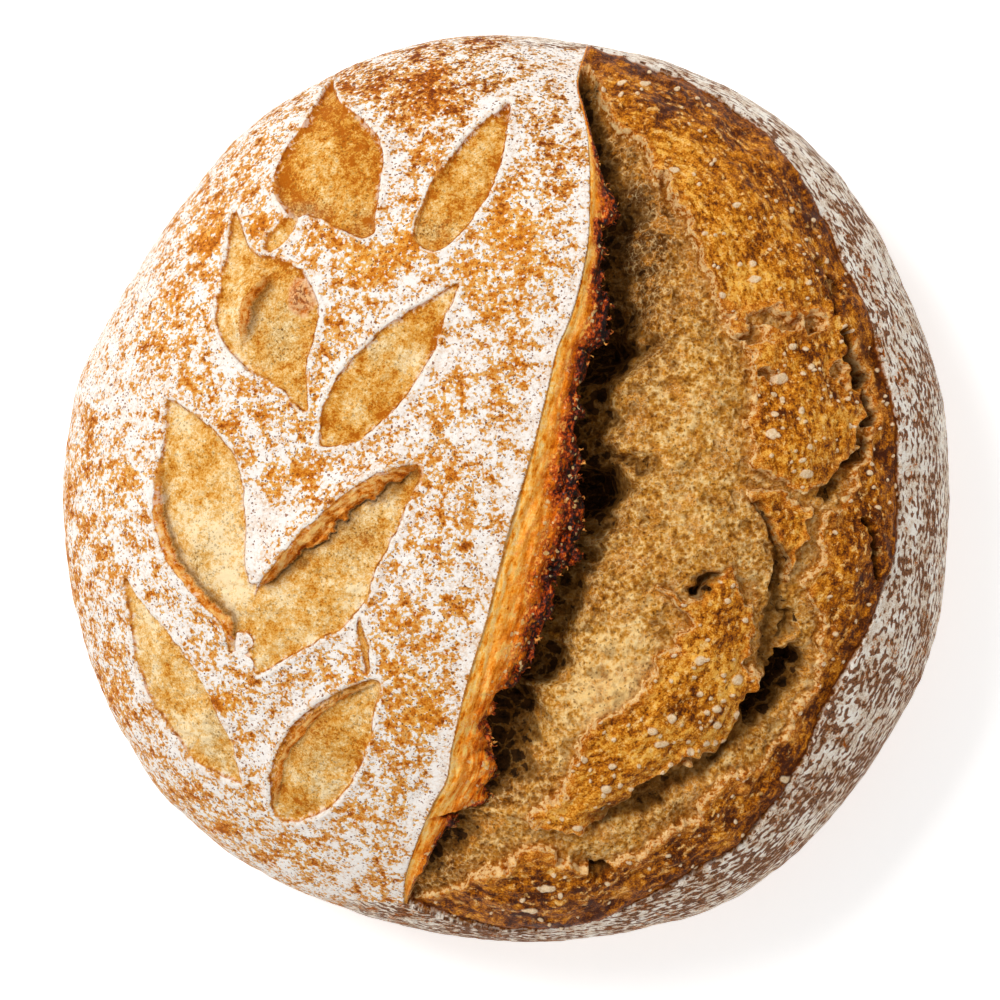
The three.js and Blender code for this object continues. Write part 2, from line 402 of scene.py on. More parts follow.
def beside(line, x, y, closed=False):
    """Distance to a line, positive on its left, or inside it if it is closed, and the share of the
    line's length where it is nearest."""
    best = np.full(x.shape, 1e9)
    left = np.zeros(x.shape, dtype=bool)
    along = np.zeros(x.shape)
    ends = np.roll(line, -1, axis=0) if closed else line[1:]
    pieces = list(zip(line, ends))
    for number, ((x0, y0), (x1, y1)) in enumerate(pieces):
        run_x, run_y = x1 - x0, y1 - y0
        off_x, off_y = x - x0, y - y0
        share = np.clip((off_x * run_x + off_y * run_y) / max(run_x**2 + run_y**2, 1e-9), 0.0, 1.0)
        gap = (off_x - share * run_x) ** 2 + (off_y - share * run_y) ** 2
        closer = gap < best
        best = np.where(closer, gap, best)
        along = np.where(closer, (number + share) / len(pieces), along)
        if closed:
            crossing = (y0 > y) != (y1 > y)
            left ^= crossing & (x < x0 + off_y * run_x / (run_y if run_y else 1e-9))
        else:
            left = np.where(closer, run_x * off_y - run_y * off_x > 0.0, left)
    best = np.sqrt(best)
    return np.where(left, best, -best), along


def near(points, margin, x, y):
    """Which of these places are within a margin of a line's box."""
    low, high = points.min(axis=0) - margin, points.max(axis=0) + margin
    return np.flatnonzero((x > low[0]) & (x < high[0]) & (y > low[1]) & (y < high[1]))


def bubbles(seed, x, y, size):
    """For spots scattered about size millimetres apart: the distance to the nearest one in those
    sizes, the extra distance to the next one, and the nearest one's own draw from 0 to 1."""
    side = 256
    spots = np.random.default_rng(seed).random((3, side, side), dtype=np.float32)
    at_x = x / size
    at_y = y / size
    cell_x = np.floor(at_x).astype(np.int64)
    cell_y = np.floor(at_y).astype(np.int64)
    nearest = np.full(x.shape, 9.0, dtype=np.float32)
    following = nearest.copy()
    chance = np.zeros(x.shape, dtype=np.float32)
    for step_x in (-1, 0, 1):
        for step_y in (-1, 0, 1):
            here_x = cell_x + step_x
            here_y = cell_y + step_y
            spot = spots[:, here_y % side, here_x % side]
            gap = np.hypot(here_x + spot[0] - at_x, here_y + spot[1] - at_y).astype(np.float32)
            closer = gap < nearest
            following = np.where(closer, nearest, np.minimum(following, gap))
            chance = np.where(closer, spot[2], chance)
            nearest = np.where(closer, gap, nearest)
    return nearest, following - nearest, chance


def bowl(reach, edge):
    """A round hollow, 1 deep in its middle and 0 from its edge on."""
    return np.maximum(1 - (reach / edge) ** 2, 0)


def table(rows, at):
    """Values between those of a table of places and values."""
    rows = sorted(rows)
    return np.interp(at, [row[0] for row in rows], [row[1] for row in rows])


right = np.flatnonzero((px > BURST_LEFT) & (py > BURST_FOOT) & (py < BURST_TOP))
bx, by = px[right], py[right]
ear_share = along_ear[right]
ear_gap = beside_ear[right]
tatters = lumps(bx, by, (11, 6.0, 0.75), (12, 2.4, 0.35), (13, 1.1, 0.22))
face_width = table(EAR_FACE, by)
face_width = np.maximum(face_width + tatters * ease(face_width, 0.5, 5.0), 0.2)
lip_gap = ear_gap - face_width
pull = ease(face_width, 0.4, 5.5) * ease(ear_share, 0.0, 0.25)
burst_outline = np.vstack([smooth_line(EAR_EDGE)[:-1], smooth_line(RIM)[::-1][:-1]])
bare = beside(burst_outline, bx, by, closed=True)[0] > 0.0
past_lip = lip_gap > 0.0
burst = bare & past_lip
rim_gap = np.abs(beside(smooth_line(RIM), bx, by)[0])

rip_x = bx + lumps(bx, by, (21, 5.0, 0.9), (22, 1.8, 0.45))
rip_y = by + lumps(bx, by, (23, 5.0, 0.9), (24, 1.8, 0.45))
crumb_outline = np.vstack([smooth_line(CRUMB_EDGE, 4), [(-60, -104), (-60, 108)]])
in_crumb = beside(crumb_outline, rip_x, rip_y, closed=True)[0]
in_island = beside(smooth_line(ISLAND, 4, closed=True), rip_x, rip_y, closed=True)[0]
in_tongue = beside(smooth_line(TONGUE, 4, closed=True), rip_x, rip_y, closed=True)[0]
in_skin = np.maximum(np.maximum(-in_crumb, in_island), in_tongue)
for x, y, half_x, half_y in OPEN_PATCHES:
    outside = (np.hypot((rip_x - x) / half_x, (rip_y - y) / half_y) - 1) * half_y
    in_skin = np.minimum(in_skin, outside)

gap = np.maximum(lip_gap, 0.0)
hollow_reach = table(HOLLOW_REACH, by)
hollow_depth = 1 - ease(gap, hollow_reach * 0.3, hollow_reach * 1.4)
trench = TRENCH_DROP * np.maximum(ear_share, 0.25) * ease(ear_share, 0.0, 0.1)
trench *= 0.5 * hollow_depth + 0.5 * hump(gap, 17.0)
# The painted shade under the lip reaches about as far as the hollow, with a ragged edge.
ragged_gap = gap / (1 + lumps(bx, by, (25, 5.5, 0.13), (26, 2.2, 0.1)))
hollow_shade_share = (1 - ease(ragged_gap, hollow_reach * 0.35, hollow_reach * 1.3)) * ease(ear_share, 0.0, 0.05)

big, _, big_chance = bubbles(31, rip_x, rip_y, 5.2)
mid, mid_wall, mid_chance = bubbles(32, rip_x, rip_y, 2.4)
small, small_wall, small_chance = bubbles(33, bx + 0.3 * waves(38, bx, by, 1.5), by, 1.2)
pits = 0.9 * bowl(big, 0.42) * (big_chance > 0.72) + 0.5 * bowl(mid, 0.5) * (mid_chance > 0.5)
pits += 0.3 * bowl(small, 0.5) * (small_chance > 0.35)
web = 0.5 * hump(mid_wall, 0.08) * (mid_chance > 0.3) + 0.3 * hump(small_wall, 0.14)
web += hump(waves(34, bx, by * 1.5, 4.2), 0.09) * ease(waves(35, bx, by, 9.0), -0.2, 0.8)
web = np.clip(web, 0.0, 1.0)
crumb_height = -CRUMB_DROP - trench - 0.6 * pits + 0.2 * web
crumb_height += lumps(bx, by, (36, 10.0, 0.5), (37, 1.6, 0.12))

# The crumb is painted darker close to the ear's lip: painted shade of the hollow under it.
crumb_tones_and_shade = -0.01 - 0.08 * hump(gap, 14.0)
for x, y, half_x, half_y, lighter in CRUMB_TONES:
    crumb_tones_and_shade += lighter * oval(bx, by, x, y, half_x, half_y)

around = np.arctan2(by, bx) * MEAN_RADIUS
skin_streaks = waves(41, around / 7.0, rim_gap, 1.6)
skin_height = SKIN_SWELL * ease(in_skin, 0.0, 9.0) + RIM_SWELL * ease(rim_gap, 0.0, 14.0) - SKIN_DROP
skin_height += lumps(bx, by, (43, 11.0, 0.5), (44, 3.2, 0.2), (45, 1.3, 0.13))
skin_height += 0.2 * skin_streaks * (1 - ease(rim_gap, 16.0, 34.0))
skin_height -= RIM_GROOVE * hump(rim_gap, 0.8)
skin_height -= 3.0 * ease(ear_share, 0, 0.3) * hump(gap, 12.0)

skin = ease(in_skin, -0.3, 0.3)
torn = hump(in_skin - 0.4, 1.3) * ease(rim_gap, 1.0, 3.0)
burst_height = skin_height * skin + crumb_height * (1 - skin)
burst_height += TORN_LIFT * torn * (in_skin > -0.5) * (0.6 + 0.4 * waves(46, bx, by, 4.0))
crack_depth = np.zeros(bx.shape)
for line, half_width, depth in CRACKS:
    points = smooth_line(line, 4)
    close = near(points, 10.0, bx, by)
    off = beside(points, rip_x[close], rip_y[close])[0]
    crack_depth[close] = np.maximum(crack_depth[close], depth * np.exp(-np.abs(off / half_width) ** 2.6))
burst_height -= crack_depth

blister = np.full(bx.shape, -1.0)
wobble_x = bx + 0.12 * waves(53, bx, by, 1.6)
wobble_y = by + 0.12 * waves(54, bx, by, 1.6)
for x, y, half_x, half_y in BLISTERS:
    blister = np.maximum(blister, 1 - ((wobble_x - x) / half_x) ** 2 - ((wobble_y - y) / half_y) ** 2)
crowded = np.where((in_island > 0.5) | ((bx > 55) & (np.abs(by - 16) < 22)), 0.11, 0.05)
for seed, apart, size in ((51, 3.1, 0.24), (52, 2.1, 0.24)):
    dot, _, dot_chance = bubbles(seed, wobble_x, wobble_y * 1.15, apart)
    keeps = (dot_chance < crowded) & (in_skin > 0.6)
    blister = np.maximum(blister, np.where(keeps, 1 - (dot / (size + 2.0 * dot_chance * size)) ** 2, -1))
blister = np.clip(blister, 0.0, 1.0) * (in_skin > -0.5)
burst_height += BLISTER_LIFT * np.sqrt(blister)
rolled_rim = 0.35 * hump(rim_gap, 0.9) * ~bare * (ear_gap > 1.0)
height[right] = np.where(burst, burst_height, height[right] + rolled_rim)


def on_right(values, elsewhere=0.0):
    """Spreads values known only right of the ear over the whole dome."""
    spread = np.full(px.shape, elsewhere, dtype=float)
    spread[right] = values
    return spread


on_face = bare & ~past_lip
grain_along = mask("grain_along", on_right(np.where(on_face, by, around)))
grain_across = mask("grain_across", on_right(np.where(on_face, ear_gap, rim_gap)))


def lying(along, across):
    """Flat coordinates for grain that lies along an edge."""
    return start.node("ShaderNodeCombineXYZ", {}, {"X": along, "Y": across})


lie = lying(grain_along * 0.3, grain_across)
streak = grain(1.4, 3.0, 0.62, lie, 1.0)

in_rim = mask("rim_gap", on_right(np.where(bare, rim_gap, -rim_gap), -60.0), -60.0)
skin_share = mask("skin", on_right(skin * burst))
skin_tone = blotch * 0.35 + patch * 0.2 + fleck * 0.35 + streak * 0.4 + speck * 0.45 - 0.37
skin_tone = skin_tone + in_rim.between(0.0, 26.0) * 0.09 - 0.075
skin_colour = ramp(
    skin_tone,
    (0.37, 72, 28, 0), (0.45, 148, 76, 0), (0.53, 206, 124, 12), (0.63, 244, 184, 80),
)
# Pale flecks on the skin: partly paler crust, partly painted glints of light.
pale_flecks_and_glints = (grain(1.5, 2.0) * 0.5 + streak * 0.5).between(0.54, 0.62)
pale_and_glint_colour = ramp(speck, (0.36, 206, 134, 34), (0.6, 252, 212, 138))
skin_colour = pale_and_glint_colour.over(skin_colour, pale_flecks_and_glints * in_rim.between(1.0, 8.0) * 0.85)
dark_flecks = 1.0 - (grain(1.2, 2.0) * 0.5 + streak * 0.5).between(0.38, 0.44)
skin_colour = ramp(speck, (0.4, 60, 24, 0), (0.6, 122, 62, 6)).over(skin_colour, dark_flecks * 0.7)
colour = skin_colour.over(colour, skin_share)

crumb_tone = speck * 0.12 + clump * 0.22 + fleck * 0.38 + patch * 0.23 + blotch * 0.2
crumb_tone = crumb_tone + cells(1.5) * 0.1 - 0.115 + mask("crumb_tone", on_right(crumb_tones_and_shade))
crumb_colour = ramp(
    crumb_tone,
    (0.34, 88, 44, 0), (0.43, 160, 94, 10), (0.51, 208, 143, 48), (0.61, 250, 207, 134),
)
golden = ramp(speck, (0.38, 160, 84, 6), (0.6, 236, 160, 58))
crumb_colour = golden.over(crumb_colour, grain(7.0, 4.0, 0.7).between(0.5, 0.6) * 0.7)
# The pale colour of the crumb's strands and walls, also used for a painted highlight.
strand_and_highlight_colour = ramp(fleck, (0.3, 214, 164, 84), (0.7, 250, 224, 170))
fine_web = 1.0 - cells(1.5, "DISTANCE_TO_EDGE").between(0.01, 0.1)
strands = mask("web", on_right(web * burst)) * 0.4 + fine_web * fleck.between(0.42, 0.58) * 0.5
crumb_colour = strand_and_highlight_colour.over(crumb_colour, strands)
# Painted shade: the crumb's pits, pores and cracks are painted dark brown, more so near the ear's hollow.
hole_shade_colour = ramp(fleck, (0.35, 70, 36, 4), (0.65, 140, 90, 28))
under_ear = mask("under_ear", on_right(hump(gap, 15.0)))
small_holes = (1.0 - cells(1.05).between(0.2, 0.32)) * patch.between(0.38, 0.5)
round_reach = cells(2.7)
round_holes = (1.0 - round_reach.between(0.24, 0.36)) * fleck.between(0.36, 0.5) * (under_ear * 0.6 + 0.25)
hole_walls = round_reach.band(0.34, 0.42, 0.44, 0.54)
crumb_colour = strand_and_highlight_colour.over(crumb_colour, hole_walls * patch.between(0.4, 0.55) * 0.4)
pit_shade = mask("pit", on_right(np.clip(pits / 1.1 + crack_depth / 6.0 * (in_skin < 1.5), 0, 1) * burst))
crumb_colour = hole_shade_colour.over(crumb_colour, pit_shade.between(0.15, 0.9) * (under_ear * 0.35 + 0.4))
crumb_colour = hole_shade_colour.over(crumb_colour, small_holes * 0.6)
crumb_colour = hole_shade_colour.over(crumb_colour, round_holes)
colour = crumb_colour.over(colour, mask("crumb", on_right((1 - skin) * burst)))

torn_share = mask("torn", on_right(torn * burst))
torn_colour = ramp(
    speck * 0.6 + fleck * 0.4, (0.38, 148, 66, 0), (0.49, 210, 116, 10), (0.61, 250, 190, 94),
)
colour = torn_colour.over(colour, torn_share * patch.between(0.25, 0.5) * 0.85)
from_tear = mask("from_tear", on_right(np.clip(in_skin, -6.0, 6.0), 6.0), 6.0)
from_tear = from_tear + (clump - 0.5) * 1.6 + (fleck - 0.5) * 1.2
on_burst = mask("burst", on_right(burst))
# Painted shade on the crumb just under the torn skin's edge, and a painted highlight along the edge itself.
edge_shade = from_tear.band(-2.4, -0.4, -0.4, -0.1) * on_burst
colour = hole_shade_colour.over(colour, edge_shade * patch.between(0.3, 0.6) * 0.55)
edge_highlight = from_tear.band(-0.3, 0.0, 0.25, 0.6) * on_burst
colour = strand_and_highlight_colour.over(colour, edge_highlight * fleck.between(0.36, 0.5) * 0.7)
blister_share = mask("blister", on_right(blister * burst))
blister_colour = ramp(speck, (0.3, 216, 168, 106), (0.6, 244, 220, 184))
colour = blister_colour.over(colour, blister_share.between(0.05, 0.5) * 0.92)
# Painted shade: the hollow under the ear's lip and the deep cracks are painted dark brown, and near black
# in the middle of the crumb's cells deep in the hollow.
hollow = mask("hollow", on_right(np.maximum(hollow_shade_share, np.clip(crack_depth / 8.0, 0, 1)) * burst))
hollow_shade_colour = ramp(fleck, (0.35, 64, 34, 4), (0.62, 124, 80, 24))
colour = hollow_shade_colour.over(colour, (hollow + (fleck - 0.5) * 0.4).between(0.05, 0.45) * 0.75)
chamber = cells(4.2, "DISTANCE_TO_EDGE")
deep_shade_colour = ramp(fleck, (0.38, 18, 7, 0), (0.62, 60, 32, 6))
colour = deep_shade_colour.over(colour, (hollow * 0.7 + chamber * 1.3 + (fleck - 0.5) * 0.8).between(0.66, 0.8) * 0.95)
# Painted shade: a thin dark line in the crease where the floured crust meets the burst.
rim_crease_shade = in_rim.band(-0.25, 0.0, 0.5, 1.1)
scorch_and_crease_shade = ramp(fleck, (0.35, 84, 34, 4), (0.65, 156, 78, 16))
colour = scorch_and_crease_shade.over(colour, rim_crease_shade * 0.85)

# ----------------------------------------
# The ear: the slash's left edge, whose cut face slopes down to a ragged lip. The lip burnt dark where
# it stood up into the oven's heat, and it overhangs the hollow that the burst left under it.
EAR_BURN = (  # down the ear, how burnt the lip is
    (114, 0.5), (95, 1.1), (85, 1.3), (66, 1.3), (52, 1.25), (10, 1.1), (-20, 1.0), (-38, 0.85),
    (-49, 0.75), (-51, 0.3), (-76, 0.35), (-84, 0.8), (-95, 0.5), (-104, 0.3),
)
FOLD = (  # out from the lip along the surface: sideways place, and share of the way down the hollow
    (0, 0, 0), (0.8, -0.6, 0.12), (1.6, -2.4, 0.3), (2.6, -4.0, 0.6), (3.6, -3.2, 0.88),
    (5.0, 1.6, 0.98), (7.0, 7.0, 1.0),
)

across_face = np.clip(ear_gap / face_width, 0.0, 1.0)
face_drop = (4.2 + 0.2 * face_width) * pull
edge_lift = EAR_LIFT * ear_share + 0.5 * pull
face_lumps = lumps(bx, by, (62, 2.2, 1.0), (64, 1.1, 0.7))
face_height = edge_lift - face_drop * (0.65 * across_face + 0.35 * across_face**2)
face_height += pull * 0.24 * waves(61, ear_gap, by / 5.0, 1.5) * ease(across_face, 0.0, 0.2)
face_height += pull * face_lumps * (0.08 + 0.34 * ease(across_face, 0.35, 0.8))
fold_gap = np.clip(lip_gap, 0.0, FOLD[-1][0])
fold_x = np.interp(fold_gap, [knot[0] for knot in FOLD], [knot[1] for knot in FOLD]) - fold_gap
fold_down = np.interp(fold_gap, [knot[0] for knot in FOLD], [knot[2] for knot in FOLD])
fold_share = fold_down * pull + (1 - pull) * ease(lip_gap, 0.0, 1.2)
under_lip = (edge_lift - face_drop) * (1 - fold_share) + burst_height * fold_share
height[right] = np.where(burst, under_lip, np.where(on_face, face_height, height[right]))
height += np.where(lifted_crust, 0.5 * on_right(pull) * hump(beside_ear, 3.0), 0.0)
shift_x = on_right(np.where(burst, fold_x * pull, 0.0))

lip_under = burst * (1 - ease(lip_gap, 0.4, 1.4)) * pull
face_share = mask("ear_face", on_right(on_face + lip_under))
across = mask("face_across", on_right(np.where(past_lip, 1.0, across_face)))
burn = mask("burn", table(EAR_BURN, py))
face_colour = ramp(
    streak * 0.85 + fleck * 0.25 + clump * 0.15 + speck * 0.15 - 0.16,
    (0.36, 186, 82, 0), (0.45, 238, 136, 18), (0.55, 255, 190, 84), (0.66, 255, 232, 172),
)
colour = face_colour.over(colour, face_share)
towards_lip = across * 0.9 + (streak - 0.5) * 1.3 + (fleck - 0.5) * 0.7
amber = ramp(
    streak * 0.8 + speck * 0.3 - 0.05, (0.38, 178, 62, 0), (0.5, 246, 130, 6), (0.62, 255, 204, 98),
)
colour = amber.over(colour, towards_lip.between(0.1, 0.4) * face_share * 0.85)
burn_colour = ramp(
    speck * 0.2 + clump * 0.25 + fleck * 0.35 + streak * 0.5 - 0.13 - across.between(0.4, 0.95) * 0.11,
    (0.38, 18, 3, 0), (0.45, 96, 26, 0), (0.53, 206, 80, 2), (0.61, 255, 184, 82),
)
burn_share = (towards_lip + burn * 0.5).between(0.88, 1.14) * face_share
colour = burn_colour.over(colour, burn_share)
lip_bubbles = (1.0 - cells(2.0).between(0.24, 0.3)) * patch.between(0.46, 0.56) * across.between(0.3, 0.5)
colour = strand_and_highlight_colour.over(colour, lip_bubbles * face_share * (1.0 - across.between(0.85, 1.0)) * 0.8)
face_edge = (1.0 - across.between(0.02, 0.07)) * face_share
colour = scorch_and_crease_shade.over(colour, face_edge * 0.7)

# ----------------------------------------
# The leaf scores: short curved cuts that opened into leaf shapes. Inside each, the dough is golden
# and slightly sunk, and the floured crust stands round it with a fine crisp edge.
LEAVES = (  # how browned the inside is, and the outline
    (0.95, ((-45.5, 106), (-48.5, 100), (-51, 94.5), (-55, 88), (-58, 82.5), (-59, 77.5),
        (-58, 73.5), (-55.5, 69.5), (-53.5, 68), (-50.5, 69), (-46, 67.5), (-42, 65), (-37, 63),
        (-33.5, 64), (-33, 68.5), (-32, 77.5), (-31.5, 85.5), (-33.5, 90.5), (-38, 95), (-43, 99.5))),
    (0.75, ((0.5, 98), (-4, 94.5), (-9, 90.5), (-14, 84), (-19, 77), (-22, 70), (-23.5, 65),
        (-22.5, 61.5), (-20, 59.5), (-16, 60), (-10.5, 64.5), (-6.5, 70.5), (-3, 77.5), (-1.2, 84),
        (-0.2, 90.5))),
    (0.5, ((-69, 71), (-70.5, 64.5), (-72, 54), (-73.5, 45), (-72, 38.5), (-67.5, 32), (-61.5, 28),
        (-56, 24.5), (-50.5, 19), (-50.3, 31), (-48.5, 39), (-47.5, 47), (-49.3, 52), (-53, 56),
        (-57, 58), (-60.5, 59.5), (-63.5, 60), (-66, 63))),
    (0.6, ((-12, 51), (-19, 47.5), (-28, 42.5), (-35, 36.5), (-41.5, 29.5), (-45.5, 22.5),
        (-47, 16), (-46.5, 11), (-38, 12), (-32, 16.3), (-26.7, 21.5), (-22.4, 27.5), (-18.5, 34.5),
        (-15.3, 43))),
    (0.1, ((-85.5, 23), (-86.3, 17), (-87.5, 10), (-89, 2), (-89.3, -5), (-88.3, -10.5), (-86, -17),
        (-82, -22.5), (-77, -28), (-72.5, -32), (-70.5, -36.5), (-70, -41), (-66, -38),
        (-62.5, -24.5), (-64.5, -23), (-65.5, -16), (-66, -5), (-67, 3), (-68.8, 8.5),
        (-72.5, 13.5), (-78.5, 18.5))),
    (0.35, ((-22.5, 6.5), (-31, 4.3), (-37.5, 1), (-43.8, -3.7), (-50, -9.8), (-55.5, -15.5),
        (-62.5, -24.5), (-68, -38), (-64.5, -42), (-62.5, -46), (-53, -40.7), (-45, -36.5),
        (-39, -32.3), (-34.7, -26.5), (-32, -18.5), (-27.7, -10.5), (-24.3, -2.5), (-22, 2))),
    (0.15, ((-97.5, -22.5), (-96.7, -30), (-95.8, -37), (-93, -49.5), (-87, -60.5), (-79, -69.5),
        (-69, -74.5), (-68.3, -72), (-70.3, -64.5), (-73.7, -57), (-78.5, -47.5), (-85, -37.5),
        (-92.5, -29))),
    (0.5, ((-36.8, -31.5), (-35.5, -35), (-34.4, -39), (-34, -43.5), (-34.9, -45), (-35.8, -41),
        (-36.6, -37), (-37.5, -33.5))),
    (0.5, ((-60.5, 60.2), (-57, 61.8), (-53.8, 65.5), (-52.6, 69), (-55, 68.7), (-58.5, 65.8),
        (-61, 63))),
    (0.42, ((-32, -47), (-41, -49.7), (-50.5, -55.5), (-57, -63.5), (-60, -72), (-59.8, -81),
        (-57.5, -84), (-51, -83.3), (-43.7, -79), (-38.5, -72.3), (-35.2, -65), (-33, -56.5))),
)
LEAF_DROP = 0.9
LEAF_RIM_LIFT = 0.35
SCAB_LIFT = 0.9
SCORE_LIPS = (  # a torn edge's line with the cut face on its left, the face's width down it, its lift
    (LEAVES[5][1][:7],
     ((0, 1.0), (0.12, 3.0), (0.3, 4.4), (0.5, 4.4), (0.8, 3.2), (0.95, 1.6), (1, 0.2)), 2.3),
    (LEAVES[4][1][2:12],
     ((0, 0.2), (0.15, 0.9), (0.4, 1.4), (0.7, 1.6), (0.9, 1.3), (1, 0.2)), 1.2),
    (((-33, -48.2), (-41, -50.9), (-49.5, -56.6), (-56, -64.5), (-58.8, -72), (-59, -80)),
     ((0, 0.3), (0.2, 1.2), (0.5, 1.8), (0.8, 1.4), (1, 0.4)), 0.5),
    (((-59.3, 55), (-61.5, 52.5), (-64.2, 49.4), (-66.3, 45.5), (-66.9, 40.5), (-67.2, 35)),
     ((0, 0.2), (0.2, 1.0), (0.5, 1.3), (0.8, 1.0), (1, 0.2)), 2.0),
    (((-58, 82.5), (-59, 77.5), (-58, 73.5), (-54, 68.5)),
     ((0, 0.2), (0.4, 0.8), (0.8, 0.8), (1, 0.3)), 0.5),
    (((-14, 84), (-19, 77), (-22, 70), (-23.3, 63)),
     ((0, 0.2), (0.5, 0.6), (0.8, 0.6), (1, 0.3)), 0.3),
)
LEAF_CRUMB = (  # where a score tore down to the crumb: centre, half length across and up
    (-50, 71, 7, 3), (-36, 67.5, 4, 4), (-57.5, 40, 7, 11), (-18, 64, 6, 4), (-32, 34, 6, 4),
    (-41, -12, 11, 6), (-50, -64, 5, 8), (-74, -62, 4, 9), (-78, -20, 4, 8),
)
SCAB = (-51.8, 48.4, 3.4, 4.8)  # a blistered brown spot: centre, half length across and up
FLOURED_SPOT = (-66.5, -38.5, 2.4)  # crust left standing where two scores meet: its middle and radius

in_leaf = np.full(px.shape, -30.0)
toast = np.full(px.shape, 0.5)
leaf_x = px + 0.16 * waves(71, px, py, 2.5)
leaf_y = py + 0.16 * waves(72, px, py, 2.5)
for browning, leaf_points in LEAVES:
    outline = smooth_line(leaf_points, 4, closed=True)
    window = near(outline, 8.0, px, py)
    inside = beside(outline, leaf_x[window], leaf_y[window], closed=True)[0]
    toast[window] = np.where(inside > in_leaf[window], browning, toast[window])
    in_leaf[window] = np.maximum(in_leaf[window], inside)
spot_x, spot_y, spot_size = FLOURED_SPOT
from_spot = np.hypot(leaf_x - spot_x, leaf_y - spot_y) - spot_size * (1 + 0.15 * waves(79, px, py, 2.0))
in_leaf = np.minimum(in_leaf, from_spot)
leaf = ease(in_leaf, -0.25, 0.25)
leaf_sink = LEAF_DROP * (ease(in_leaf, -0.3, 0.9) - 0.4 * ease(in_leaf, 1.0, 9.0))
pores, _, pore_chance = bubbles(73, px, py, 1.4)
leaf_sink += leaf * 0.22 * bowl(pores, 0.4) * (pore_chance > 0.6)
leaf_sink -= leaf * lumps(px, py, (74, 6.0, 0.25), (75, 1.7, 0.13))
height -= leaf_sink
height += LEAF_RIM_LIFT * hump(in_leaf + 0.9, 0.9)
lip_face, lip_across, lip_run, lip_off, lip_shade, torn_leaf = np.zeros((6, px.size))
for line, widths, lift in SCORE_LIPS:
    points = smooth_line(line, 4)
    window = near(points, 10.0, px, py)
    off, share = beside(points, leaf_x[window], leaf_y[window])
    ragged = 1 + lumps(px[window], py[window], (76, 3.0, 0.14), (77, 1.1, 0.08))
    width = np.maximum(table(widths, share) * ragged, 0.2)
    power = ease(table(widths, share), 0.2, 1.2)
    beside_line = (share > 0.001) & (share < 0.999)
    on_lip = (off > -0.1) & (off < width) & beside_line
    over_lip = np.clip(off / width, 0.0, 1.0)
    rise = np.where(off < 0.0, hump(off, 5.0), 1.0 - 1.1 * over_lip**1.3)
    rise = np.where(off < width, rise, -0.7 * hump(off - width, 1.8)) * beside_line
    rise *= ease(share, 0.0, 0.1) * (1 - ease(share, 0.92, 1.0))
    height[window] += lift * power * rise + leaf_sink[window] * on_lip * (1.0 - over_lip)
    stronger = on_lip * power > lip_face[window]
    run = share * np.hypot(*np.diff(points, axis=0).T).sum()
    for kept, value in ((lip_across, over_lip), (lip_run, run), (lip_off, off), (lip_face, on_lip * power)):
        kept[window] = np.where(stronger, value, kept[window])
    shade = beside_line * power * (off > width) * hump(off - width, 1.0 + 0.6 * lift) * min(lift, 1.0)
    lip_shade[window] = np.maximum(lip_shade[window], shade)
for x, y, half_x, half_y in LEAF_CRUMB:
    torn_leaf = np.maximum(torn_leaf, oval(px, py, x, y, half_x, half_y, 0.8))
scab = oval(leaf_x, leaf_y, *SCAB) * leaf
height += scab * (SCAB_LIFT + 0.35 * waves(78, px, py, 1.6))

leaf_share = mask("leaf", leaf)
leaf_gap = mask("leaf_gap", in_leaf, -30.0)
browned = mask("toast", toast, 0.5)
leaf_tone = blotch * 0.5 + patch * 0.35 + fleck * 0.35 + clump * 0.15 + speck * 0.5 - 0.425
leaf_tone = leaf_tone + leaf_gap.between(0.0, 4.0) * 0.04 - browned * 0.17 + 0.05
leaf_colour = ramp(
    leaf_tone,
    (0.35, 178, 94, 6), (0.44, 216, 148, 50), (0.53, 232, 184, 108), (0.64, 250, 224, 176),
)
torn_dough = mask("torn_leaf", torn_leaf) * patch.between(0.25, 0.65)
pale_dough = ramp(
    speck * 0.7 + fleck * 0.3, (0.39, 140, 98, 42), (0.5, 200, 160, 98), (0.61, 240, 214, 160),
)
leaf_colour = pale_dough.over(leaf_colour, torn_dough * 0.7)
# Painted shade in the small pores of the leaves' dough.
leaf_colour = hole_shade_colour.over(leaf_colour, small_holes * (0.4 + torn_dough * 0.35))
scab_share = mask("scab", scab)
scab_edge = (scab_share + (fleck - 0.5) * 0.5).between(0.3, 0.45)
scab_colour = ramp(fleck * 0.6 + speck * 0.4, (0.4, 204, 108, 24), (0.56, 238, 186, 130))
scab_lines = (1.0 - clump.between(0.42, 0.52)) * scab_share.between(0.3, 0.9) * 0.8
leaf_colour = scab_colour.over(leaf_colour, scab_edge * 0.9)
leaf_colour = ramp(speck, (0.35, 84, 22, 0), (0.6, 170, 84, 26)).over(leaf_colour, scab_lines)
colour = leaf_colour.over(colour, leaf_share)
edge_line = leaf_gap.band(-0.2, 0.0, 0.2, 0.6)
edge_colour = ramp(fleck, (0.35, 132, 58, 4), (0.65, 216, 132, 38))
colour = edge_colour.over(colour, edge_line * patch.between(0.34, 0.5) * 0.9)
lip_share = mask("lip_face", lip_face)
lip_over = mask("lip_across", lip_across)
lip_lie = lying(mask("lip_run", lip_run) * 0.3, mask("lip_off", lip_off))
lip_tone = grain(1.1, 3.0, 0.62, lip_lie, 1.0) * 0.6 + speck * 0.25 + fleck * 0.25
lip_tone = lip_tone - lip_over.between(0.4, 1.0) * 0.06
lip_colour = ramp(lip_tone, (0.4, 138, 52, 0), (0.5, 218, 122, 22), (0.62, 250, 198, 116))
colour = lip_colour.over(colour, lip_share)
lip_edge = (1.0 - lip_over.between(0.03, 0.14)) * lip_share
colour = edge_colour.over(colour, lip_edge * 0.8)
lip_shadow = ramp(speck, (0.3, 84, 50, 14), (0.7, 150, 102, 46))
colour = lip_shadow.over(colour, mask("lip_shade", lip_shade) * 0.8)

